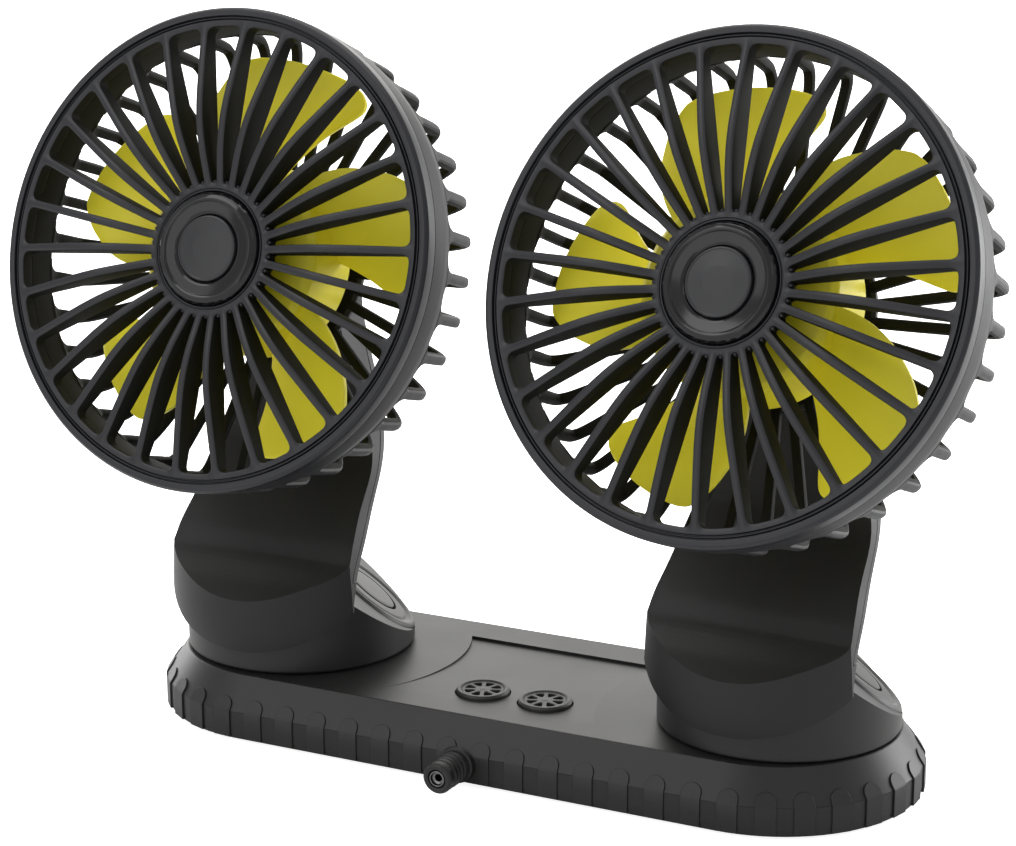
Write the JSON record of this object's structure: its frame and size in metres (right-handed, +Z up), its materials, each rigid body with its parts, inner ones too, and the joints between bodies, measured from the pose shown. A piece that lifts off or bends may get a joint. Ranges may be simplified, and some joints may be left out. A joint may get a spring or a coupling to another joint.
{
  "type": "dual head car fan",
  "caption": "Low fluted base with two turrets that swivel, each carrying a round caged fan that tilts on a leaning neck, with push buttons and a power inlet at the front.",
  "frame": {"origin": "middle of the underside of the pad that the base stands on", "axes": "+X to the right along the base, the fans face -Y, +Z up"},
  "size_m": [0.2714, 0.1053, 0.2013],
  "materials": {
    "charcoal_plastic": "satin, fine grain",
    "black_plastic": "matte",
    "gloss_black": "polished",
    "olive_yellow": "satin",
    "black_rubber": "matte",
    "screw_steel": "plated",
    "motor_steel": "drawn",
    "board_green": "solder mask"
  },
  "bodies": {
    "base": {"base_top_cover": "charcoal_plastic", "base_tray": "charcoal_plastic", "base_pad": "black_rubber", "control_board": "board_green", "base_screw_1": "screw_steel", "base_screw_2": "screw_steel", "base_screw_3": "screw_steel", "base_screw_4": "screw_steel", "left_fan_switch": "black_plastic", "right_fan_switch": "black_plastic", "inlet_gland": "black_rubber", "inlet_plug_shell": "black_plastic", "inlet_sleeve": "screw_steel", "inlet_contact": "screw_steel"},
    "left_button": {"left_fan_button": "charcoal_plastic"},
    "right_button": {"right_fan_button": "charcoal_plastic"},
    "left_turret": {"left_turret_drum": "black_plastic", "left_turret_retainer": "screw_steel", "left_turret_cap_outer": "charcoal_plastic", "left_turret_cap_inner": "charcoal_plastic", "left_neck_shell": "black_plastic", "left_neck_cover": "black_plastic", "left_neck_screw": "screw_steel", "left_tilt_pin": "screw_steel"},
    "left_head": {"left_tilt_washer_a": "black_rubber", "left_tilt_washer_b": "black_rubber", "left_front_grille": "charcoal_plastic", "left_rear_cage": "charcoal_plastic", "left_hub_ring": "gloss_black", "left_hub_disc": "charcoal_plastic", "left_motor": "motor_steel", "left_motor_cover": "charcoal_plastic"},
    "left_rotor": {"left_impeller": "olive_yellow", "left_rotor_shaft": "screw_steel", "left_rotor_nut": "screw_steel"},
    "right_turret": {"right_turret_drum": "black_plastic", "right_turret_retainer": "screw_steel", "right_turret_cap_outer": "charcoal_plastic", "right_turret_cap_inner": "charcoal_plastic", "right_neck_shell": "black_plastic", "right_neck_cover": "black_plastic", "right_neck_screw": "screw_steel", "right_tilt_pin": "screw_steel"},
    "right_head": {"right_tilt_washer_a": "black_rubber", "right_tilt_washer_b": "black_rubber", "right_front_grille": "charcoal_plastic", "right_rear_cage": "charcoal_plastic", "right_hub_ring": "gloss_black", "right_hub_disc": "charcoal_plastic", "right_motor": "motor_steel", "right_motor_cover": "charcoal_plastic"},
    "right_rotor": {"right_impeller": "olive_yellow", "right_rotor_shaft": "screw_steel", "right_rotor_nut": "screw_steel"}
  },
  "joints": [
    {"name": "left_swivel", "type": "hinge", "parent": "base", "child": "left_turret", "pos_m": [-0.0728, 0, 0.02], "axis": [0, 0, 1], "range_deg": [-170, 10]},
    {"name": "left_tilt", "type": "hinge", "parent": "left_turret", "child": "left_head", "pos_m": [-0.0728, 0.0089, 0.1222], "axis": [-1, 0, 0], "range_deg": [-17.3, 57.7]},
    {"name": "left_spin", "type": "hinge", "parent": "left_head", "child": "left_rotor", "pos_m": [-0.0728, 0.0089, 0.1222], "axis": [0, -0.9548, 0.2974], "continuous": true},
    {"name": "right_swivel", "type": "hinge", "parent": "base", "child": "right_turret", "pos_m": [0.0728, 0, 0.02], "axis": [0, 0, 1], "range_deg": [-6.8, 173.2]},
    {"name": "right_tilt", "type": "hinge", "parent": "right_turret", "child": "right_head", "pos_m": [0.0733, 0.00889, 0.1222], "axis": [-0.9984, 0.0558, 0], "range_deg": [-21.8, 53.2]},
    {"name": "right_spin", "type": "hinge", "parent": "right_head", "child": "right_rotor", "pos_m": [0.0733, 0.00889, 0.1222], "axis": [-0.0518, -0.927, 0.3714], "continuous": true},
    {"name": "left_button_press", "type": "slide", "parent": "base", "child": "left_button", "axis": [0, 0, -1], "range_m": [0, 0.0006], "stiffness_N_per_m": 800, "springref_m": -0.0003},
    {"name": "right_button_press", "type": "slide", "parent": "base", "child": "right_button", "axis": [0, 0, -1], "range_m": [0, 0.0006], "stiffness_N_per_m": 800, "springref_m": -0.0003}
  ]
}
